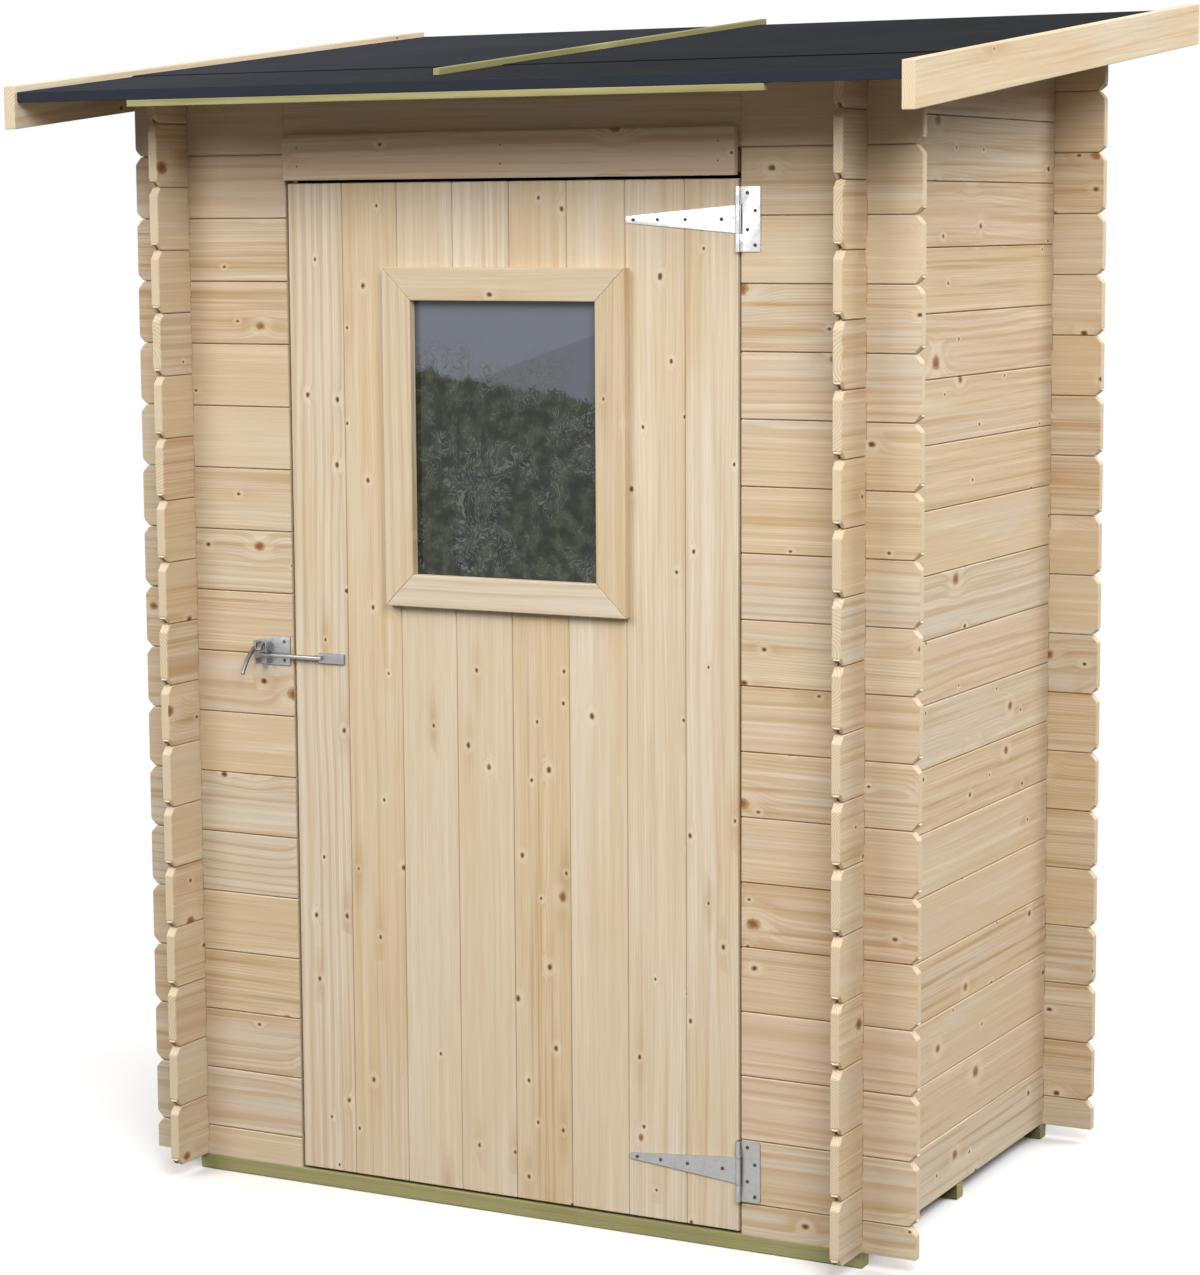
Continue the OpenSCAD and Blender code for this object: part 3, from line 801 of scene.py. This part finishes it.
class SHED_OT_walls(bpy.types.Operator):
    """Stack the tongued and grooved boards of the four walls, crossed at the corners"""
    bl_idname = "shed.walls"
    bl_label = "Walls"

    def execute(self, context):
        left_low, left_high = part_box("front_wall_left")
        long_wall("front_boards_left", FRONT_Y, left_low.x, left_high.x, BASE_Z, ["front_wall_left"])
        long_wall("front_boards_right", FRONT_Y, FRONT_LOW.x, FRONT_HIGH.x, BASE_Z, ["front_wall_right"])
        head_low, head_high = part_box("front_wall_head")
        long_wall("front_boards_head", FRONT_Y, head_low.x, head_high.x, head_low.z, ["front_wall_head"])
        long_wall("back_boards", BACK_LOW.y, BACK_LOW.x, BACK_HIGH.x, BASE_Z, ["back_wall"])
        side_wall("side_boards_left", LEFT_LOW, LEFT_HIGH, "side_wall_left")
        side_wall("side_boards_right", RIGHT_LOW, RIGHT_HIGH, "side_wall_right")
        return {"FINISHED"}


class SHED_OT_base(bpy.types.Operator):
    """Lay the treated bearers and the floor boards"""
    bl_idname = "shed.base"
    bl_label = "Base and floor"

    def execute(self, context):
        for node in ("bearer_front", "bearer_middle", "bearer_back"):
            low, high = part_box(node)
            plain_board(node + "_beam", low, high, (1, 0, 0), "shed", treated_timber, "treated_wood", [node])
        low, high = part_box("floor_deck")
        count = round((high.x - low.x) / sizes().floor_board)
        floor = board_row("floor_boards", low, high, 0, count, 0.0012)
        give_grain(floor, (0, 1, 0))
        add(floor, "shed", material(wall_timber), "floor_wood", "floor_deck")
        return {"FINISHED"}


class SHED_OT_doorway(bpy.types.Operator):
    """Frame the doorway with its posts, its rail and the board over the door"""
    bl_idname = "shed.doorway"
    bl_label = "Doorway"

    def execute(self, context):
        for node, along in (("door_jamb_left", (0, 0, 1)), ("door_jamb_right", (0, 0, 1)),
                            ("door_jamb_head", (1, 0, 0))):
            piece = from_cad(node + "_post", node)
            round_edges(piece, sizes().round_edge)
            give_grain(piece, along)
            add(piece, "shed", material(trim_timber), "trim_wood", node)
        low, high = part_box("door_head_board")
        plain_board("door_head_plank", low, high, (1, 0, 0), "shed", wall_timber, "trim_wood", ["door_head_board"])
        inset, rows = 0.03, (0.3, 0.7)
        places = [(x, low.y, low.z + (high.z - low.z) * row)
                  for x in (low.x + inset, (low.x + high.x) / 2, high.x - inset) for row in rows]
        nail_heads("head_board_nails", places, "shed")
        return {"FINISHED"}


class SHED_OT_roof(bpy.types.Operator):
    """Lay the roof boards and the felt, and fit the barge boards, the batten and the lath"""
    bl_idname = "shed.roof"
    bl_label = "Roof"

    def execute(self, context):
        self.deck()
        self.felt()
        for node in ("barge_board_left", "barge_board_right"):
            self.sloped(node, "barge", trim_timber, "trim_wood")
        self.sloped("roof_batten", "strip", treated_timber, "treated_wood")
        low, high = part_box("eaves_lath")
        thick = high.z - low.z - SLOPE * (high.y - low.y)
        plain_board("eaves_lath_strip", low, (high.x, high.y, low.z + thick), (1, 0, 0), "shed",
                    treated_timber, "treated_wood", ["eaves_lath"], slope=True)
        return {"FINISHED"}

    def deck(self):
        count = round((DECK_HIGH.x - DECK_LOW.x) / sizes().floor_board)
        top = DECK_LOW.z + DECK_V
        deck = board_row("roof_boards", DECK_LOW, (DECK_HIGH.x, DECK_HIGH.y, top), 0, count, 0.0008, slope=True)
        give_grain(deck, (0, 1, SLOPE))
        add(deck, "shed", material(wall_timber), "floor_wood", "roof_deck")

    def felt(self):
        """Two strips: the lower one folds down over the front edge, the upper one laps over it."""
        low, high = FELT_LOW, FELT_HIGH
        clear = 0.0003
        seam_y = low.y + sizes().felt_seam
        bottom = under(low.y) + DECK_V + clear
        fold = DECK_LOW.y - low.y - clear
        lower = box("felt_lower", (low.x, low.y, bottom), (high.x, seam_y + 0.08, bottom + FELT_V))
        with Editing(lower) as edit:
            edit.cut((0, low.y + fold, 0), (0, 1, 0), keep_both=True)
            edit.pick("faces", lambda f: f.normal.z < -0.9 and f.calc_center_median().y < low.y + fold)
            bpy.ops.mesh.extrude_region_move(TRANSFORM_OT_translate={"value": (0, 0, -DECK_V - clear)})
        upper_z = under(low.y) + DECK_V + FELT_V + clear
        upper = box("felt_upper", (low.x, seam_y, upper_z), (high.x, high.y, upper_z + FELT_V * 0.9))
        for strip in (lower, upper):
            tilt(strip, low.y)
        round_edges(lower, 0.0009, 2)
        round_edges(upper, 0.0006, 2)
        piece = join("felt_strips", [lower, upper])
        add(piece, "shed", material(roofing_felt), "roofing_felt", "roof_felt")

    def sloped(self, node, ending, wood, slot):
        low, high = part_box(node)
        thick = high.z - low.z - SLOPE * (high.y - low.y)
        plain_board(node + "_" + ending, low, (high.x, high.y, low.z + thick), (0, 1, SLOPE), "shed",
                    wood, slot, [node], slope=True)


class SHED_OT_door(bpy.types.Operator):
    """Build the door leaf from tongued planks, with its ledges"""
    bl_idname = "shed.door"
    bl_label = "Door"

    def execute(self, context):
        self.leaf()
        for node in ("door_ledge_top", "door_ledge_middle", "door_ledge_bottom"):
            low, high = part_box(node)
            plain_board(node + "_rail", low, high, (1, 0, 0), "door", trim_timber, "trim_wood", [node],
                        edge=0.0025)
        return {"FINISHED"}

    def leaf(self):
        s = sizes()
        low, high = LEAF_LOW, LEAF_HIGH
        gap = s.seam * 0.7
        middle = (low.y + high.y) / 2
        plank = box("plank", (low.x + gap, low.y, low.z), (low.x + s.plank - gap, high.y, high.z))
        with Editing(plank) as edit:
            for shift in (-s.tongue_t / 2, s.tongue_t / 2):
                edit.cut((0, middle + shift, 0), (0, 1, 0), keep_both=True)

            def strip(way):
                return lambda f: (f.normal.x * way > 0.9
                                  and abs(f.calc_center_median().y - middle) < s.tongue_t / 2)

            edit.pick("faces", strip(-1))
            bpy.ops.mesh.extrude_region_move(TRANSFORM_OT_translate={"value": (-s.tongue_h, 0, 0)})
            edit.pick("faces", strip(1))
            bpy.ops.mesh.extrude_region_move(TRANSFORM_OT_translate={"value": (-s.tongue_h * 1.3, 0, 0)})
        round_edges(plank, s.round_edge)
        count = math.ceil((high.x - low.x) / s.plank - 0.01)
        past = 0.01
        planks = []
        for n in range(count):
            one = copy_at(plank, (n * s.plank, 0, 0))
            left = low.x + n * s.plank
            if n == 0:
                with Editing(one) as edit:
                    edit.cut((low.x + gap, 0, 0), (-1, 0, 0))
            if n == count - 1:
                with Editing(one) as edit:
                    edit.cut((high.x, 0, 0), (1, 0, 0))
            if left + s.plank > GLASS_LOW.x and left - s.tongue_h < GLASS_HIGH.x:
                carve(one, box("cutter", (GLASS_LOW.x, low.y - past, GLASS_LOW.z),
                               (GLASS_HIGH.x, high.y + past, GLASS_HIGH.z)))
            planks.append(one)
        bpy.data.objects.remove(plank)
        leaf = join("door_planks", planks)
        give_grain(leaf, (0, 0, 1))
        add(leaf, "door", material(door_timber), "door_wood", "door_leaf")


class SHED_OT_window(bpy.types.Operator):
    """Fit the glass, its bead and the mitred casings"""
    bl_idname = "shed.window"
    bl_label = "Window"

    def execute(self, context):
        lap = self.lap = (CASING_HIGH.x - CASING_LOW.x - (GLASS_HIGH.x - GLASS_LOW.x)) / 2
        self.frame("casing_boards", CASING_LOW.y, CASING_HIGH.y, "window_casing")
        low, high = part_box("window_casing_inner")
        self.frame("inner_casing_boards", LEAF_HIGH.y, high.y, "window_casing_inner")
        self.bead()
        pane = box("window_pane", GLASS_LOW, GLASS_HIGH)
        round_edges(pane, 0.0004)
        add(pane, "door", material(window_pane), "glass", "window_glass")
        return {"FINISHED"}

    def sight(self):
        """Corners of the glass that shows inside the casing."""
        low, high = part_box("window_casing_inner")
        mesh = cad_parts["window_casing"].data
        xs = sorted({round(v.co.x, 5) for v in mesh.vertices})
        zs = sorted({round(v.co.z, 5) for v in mesh.vertices})
        return xs[1], xs[-2], zs[1], zs[-2]

    def frame(self, name, y0, y1, node):
        """Four boards round the glass, mitred at the corners."""
        x0, x1, z0, z1 = self.sight()
        out = CASING_LOW, CASING_HIGH
        rails = []
        for x, way in ((x0, -1), (x1, 1)):
            edge = out[0].x if way < 0 else out[1].x
            rail = box("stile", (min(x, edge), y0, out[0].z), (max(x, edge), y1, out[1].z))
            with Editing(rail) as edit:
                edit.cut((x, 0, z1), (-way, 0, 1))
                edit.cut((x, 0, z0), (-way, 0, -1))
            round_edges(rail, 0.0016, 2)
            rails.append(give_grain(rail, (0, 0, 1)))
        for z, way in ((z0, -1), (z1, 1)):
            edge = out[0].z if way < 0 else out[1].z
            rail = box("rail", (out[0].x, y0, min(z, edge)), (out[1].x, y1, max(z, edge)))
            with Editing(rail) as edit:
                edit.cut((x1, 0, z), (1, 0, -way))
                edit.cut((x0, 0, z), (-1, 0, -way))
            round_edges(rail, 0.0016, 2)
            rails.append(give_grain(rail, (1, 0, 0)))
        add(join(name, rails), "door", material(trim_timber), "trim_wood", node)

    def bead(self):
        """Square bead between the glass and the inner casing."""
        x0, x1, z0, z1 = self.sight()
        y0, y1 = GLASS_HIGH.y, LEAF_HIGH.y
        strips = []
        for a, b in ((GLASS_LOW.x, x0), (x1, GLASS_HIGH.x)):
            strips.append(give_grain(box("bead", (a, y0, GLASS_LOW.z), (b, y1, GLASS_HIGH.z)), (0, 0, 1)))
        for a, b in ((GLASS_LOW.z, z0), (z1, GLASS_HIGH.z)):
            strips.append(give_grain(box("bead", (x0, y0, a), (x1, y1, b)), (1, 0, 0)))
        bead = join("glazing_bead", strips)
        round_edges(bead, 0.0006)
        add(bead, "door", material(trim_timber), "trim_wood")


class SHED_OT_hinges(bpy.types.Operator):
    """Forge the strap hinges with their plates, pins and screws"""
    bl_idname = "shed.hinges"
    bl_label = "Hinges"
    finish = {"top": bright_zinc, "bottom": grey_zinc}

    def execute(self, context):
        for place in ("top", "bottom"):
            self.strap(place)
            self.plate(place)
            self.pin(place)
        return {"FINISHED"}

    def strap(self, place):
        node = "hinge_strap_" + place
        low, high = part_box(node)
        strap = from_cad(node + "_leaf", node)
        with Editing(strap) as edit:
            edit.pick("edges", lambda e: all(abs(v.co.x - low.x) < 1e-4 for v in e.verts)
                      and abs(e.verts[0].co.y - e.verts[1].co.y) > 0.001)
            bpy.ops.mesh.bevel(offset=0.0042, segments=5, affect="EDGES")
        round_edges(strap, 0.0004, 2)
        bpy.ops.object.shade_smooth_by_angle(angle=math.radians(30))
        add(strap, "door", material(self.finish[place]), "galvanised_steel", node)
        middle = (low.z + high.z) / 2
        span = high.x - low.x
        screws = [screw("screw", (low.x + span * share, FRONT_Y - 0.0029, middle), sizes().screw_r)
                  for share in (0.07, 0.28, 0.52, 0.83)]
        add(join(node + "_screws", screws), "door", material(screw_steel), "galvanised_steel")

    def plate(self, place):
        node = "hinge_plate_" + place
        low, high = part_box(node)
        plate = from_cad(node + "_leaf", node)
        with Editing(plate) as edit:
            edit.pick("edges", lambda e: all(abs(v.co.x - high.x) < 1e-4 for v in e.verts)
                      and abs(e.verts[0].co.y - e.verts[1].co.y) > 0.001)
            bpy.ops.mesh.bevel(offset=0.003, segments=4, affect="EDGES")
        round_edges(plate, 0.0004, 2)
        bpy.ops.object.shade_smooth_by_angle(angle=math.radians(30))
        add(plate, "shed", material(self.finish[place]), "galvanised_steel", node)
        tall = high.z - low.z
        near, far = high.x - 0.0235, high.x - 0.0095
        screws = [screw("screw", (x, FRONT_Y - 0.0029, low.z + tall * share), sizes().screw_r)
                  for x, share in ((far, 0.10), (near, 0.34), (far, 0.63), (near, 0.90))]
        add(join(node + "_screws", screws), "shed", material(screw_steel), "galvanised_steel")

    def pin(self, place):
        node = "hinge_pin_" + place
        pin = from_cad(node + "_rivet", node)
        round_edges(pin, 0.0005, 2)
        bpy.ops.object.shade_smooth_by_angle(angle=math.radians(30))
        add(pin, "shed", material(dull_zinc), "galvanised_steel", node)


class SHED_OT_latch(bpy.types.Operator):
    """Fit the latch plate, its lever and the striker on the door"""
    bl_idname = "shed.latch"
    bl_label = "Latch"

    def execute(self, context):
        plate = from_cad("latch_housing", "latch_plate")
        round_edges(plate, 0.0005, 2)
        bpy.ops.object.shade_smooth_by_angle(angle=math.radians(30))
        add(plate, "shed", material(grey_zinc), "galvanised_steel", "latch_plate")
        low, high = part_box("latch_plate")
        screws = [screw("screw", (high.x - 0.012, FRONT_Y - 0.0029, z), sizes().screw_r * 0.9)
                  for z in (low.z + 0.009, high.z - 0.009)]
        add(join("latch_screws", screws), "shed", material(screw_steel), "galvanised_steel")
        lever = from_cad("latch_thumb_lever", "latch_lever")
        round_edges(lever, 0.0006, 2)
        bpy.ops.object.shade_smooth_by_angle(angle=math.radians(30))
        add(lever, "latch", material(dull_zinc), "latch_steel", "latch_lever")
        self.striker()
        return {"FINISHED"}

    def striker(self):
        bar = from_cad("striker_rod", "striker_bar")
        round_edges(bar, 0.0012, 3)
        bpy.ops.object.shade_smooth_by_angle(angle=math.radians(30))
        add(bar, "door", material(grey_zinc), "galvanised_steel", "striker_bar")


# Name, azimuth from the front to the right and elevation in degrees, distance, width, power.
LAMPS = (("key_lamp", 40, 31, 6.0, 2.4, 190.0), ("left_lamp", -25, 30, 6.0, 2.4, 130.0),
         ("side_lamp", 118, 36, 6.0, 2.4, 150.0))


class SHED_OT_stage(bpy.types.Operator):
    """Set up the plain studio: floor, soft light and camera"""
    bl_idname = "shed.stage"
    bl_label = "Studio"

    def execute(self, context):
        self.floor()
        self.sky()
        self.lamps()
        self.camera()
        return {"FINISHED"}

    def floor(self):
        deselect()
        bpy.ops.mesh.primitive_plane_add(size=60, location=(0, 0, -0.0005))
        floor = bpy.context.object
        floor.name = "studio_floor"
        r = Recipe("studio_floor", 0.9, specular=0.0)
        path = r.node("ShaderNodeLightPath").outputs
        seen = r.math("MAXIMUM", path["Is Camera Ray"],
                      r.math("MAXIMUM", path["Is Glossy Ray"], path["Is Transmission Ray"]))
        dim = colours().floor * 0.1
        away = r.node("ShaderNodeVectorMath", {0: r.node("ShaderNodeTexCoord").outputs["Object"]}, operation="LENGTH")
        far = r.math("MULTIPLY", seen, r.between(away.outputs["Value"], 0.8, 1.9))
        white = r.node("ShaderNodeEmission", {"Color": (1.0, 1.0, 1.0), "Strength": 1.0}).outputs[0]
        blend = r.node("ShaderNodeMixShader", {0: far, 1: r.shader.outputs[0], 2: white}).outputs[0]
        r.tree.links.new(blend, r.tree.nodes["Material Output"].inputs["Surface"])
        floor.data.materials.append(r.finish(r.mix(seen, dim, colours().floor)))

    def sky(self):
        world = bpy.data.worlds.new("studio_sky")
        bpy.context.scene.world = world
        world.use_nodes = True
        tree = world.node_tree
        light = tree.nodes["Background"]
        place = tree.nodes.new("ShaderNodeTexCoord").outputs["Generated"]
        split = tree.nodes.new("ShaderNodeSeparateXYZ")
        tree.links.new(place, split.inputs[0])
        dome = tree.nodes.new("ShaderNodeMapRange")
        dome.interpolation_type = "SMOOTHSTEP"
        tree.links.new(split.outputs["Z"], dome.inputs["Value"])
        for key, number in (("From Min", 0.0), ("From Max", 0.8), ("To Min", 0.02), ("To Max", 1.25)):
            dome.inputs[key].default_value = number
        path = tree.nodes.new("ShaderNodeLightPath").outputs
        seen = tree.nodes.new("ShaderNodeMath")
        seen.operation = "MAXIMUM"
        tree.links.new(path["Is Glossy Ray"], seen.inputs[0])
        tree.links.new(path["Is Transmission Ray"], seen.inputs[1])
        seen_all = tree.nodes.new("ShaderNodeMath")
        seen_all.operation = "MAXIMUM"
        tree.links.new(seen.outputs[0], seen_all.inputs[0])
        tree.links.new(path["Is Camera Ray"], seen_all.inputs[1])
        level = tree.nodes.new("ShaderNodeMix")
        tree.links.new(seen_all.outputs[0], level.inputs[0])
        tree.links.new(dome.outputs[0], level.inputs[2])
        level.inputs[3].default_value = 1.0
        light.inputs["Color"].default_value = (1, 1, 1, 1)
        tree.links.new(level.outputs[0], light.inputs["Strength"])

    def lamps(self):
        """Broad soft lamps: the key in front to the right, one to the left, one at the right side."""
        middle = Vector((0, 0, 1.0))
        for name, azimuth, elevation, away, size, power in LAMPS:
            a, e = math.radians(azimuth), math.radians(elevation)
            way = Vector((math.sin(a) * math.cos(e), -math.cos(a) * math.cos(e), math.sin(e)))
            bpy.ops.object.light_add(type="AREA", location=middle + way * away)
            lamp = bpy.context.object
            lamp.name = name
            lamp.data.energy = power
            lamp.data.size = size
            lamp.rotation_euler = way.to_track_quat("Z", "Y").to_euler()

    def camera(self):
        """Eye height, well to the right of the door and looking slightly down."""
        scene = bpy.context.scene
        bpy.ops.object.camera_add(location=(2.756, -5.365, 1.759))
        camera = bpy.context.object
        camera.name = "studio_camera"
        camera.rotation_euler = (math.radians(82.691), math.radians(0.329), math.radians(27.627))
        camera.data.lens = 92.06
        camera.data.sensor_width = 36
        scene.camera = camera
        scene.view_settings.view_transform = "Standard"


class SHED_PT_panel(bpy.types.Panel):
    """Sizes, colours and steps of the shed"""
    bl_idname = "SHED_PT_panel"
    bl_label = "Garden Shed"
    bl_space_type = "VIEW_3D"
    bl_region_type = "UI"
    bl_category = "Shed"

    def draw(self, context):
        layout = self.layout
        for group in (context.scene.shed_sizes, context.scene.shed_colours):
            column = layout.column(align=True)
            for key in group.__annotations__:
                column.prop(group, key)
        for step in STEPS:
            layout.operator(step.bl_idname)


STEPS = (SHED_OT_walls, SHED_OT_base, SHED_OT_doorway, SHED_OT_roof, SHED_OT_door, SHED_OT_window,
         SHED_OT_hinges, SHED_OT_latch, SHED_OT_stage)
CLASSES = (ShedSizes, ShedColours, *STEPS, SHED_PT_panel)


def register():
    for cls in CLASSES:
        bpy.utils.register_class(cls)
    bpy.types.Scene.shed_sizes = PointerProperty(type=ShedSizes)
    bpy.types.Scene.shed_colours = PointerProperty(type=ShedColours)


def unregister():
    del bpy.types.Scene.shed_colours
    del bpy.types.Scene.shed_sizes
    for cls in reversed(CLASSES):
        bpy.utils.unregister_class(cls)


def main():
    register()
    deselect()
    for step in STEPS:
        family, name = step.bl_idname.split(".")
        getattr(getattr(bpy.ops, family), name)()


if __name__ == "__main__":
    main()
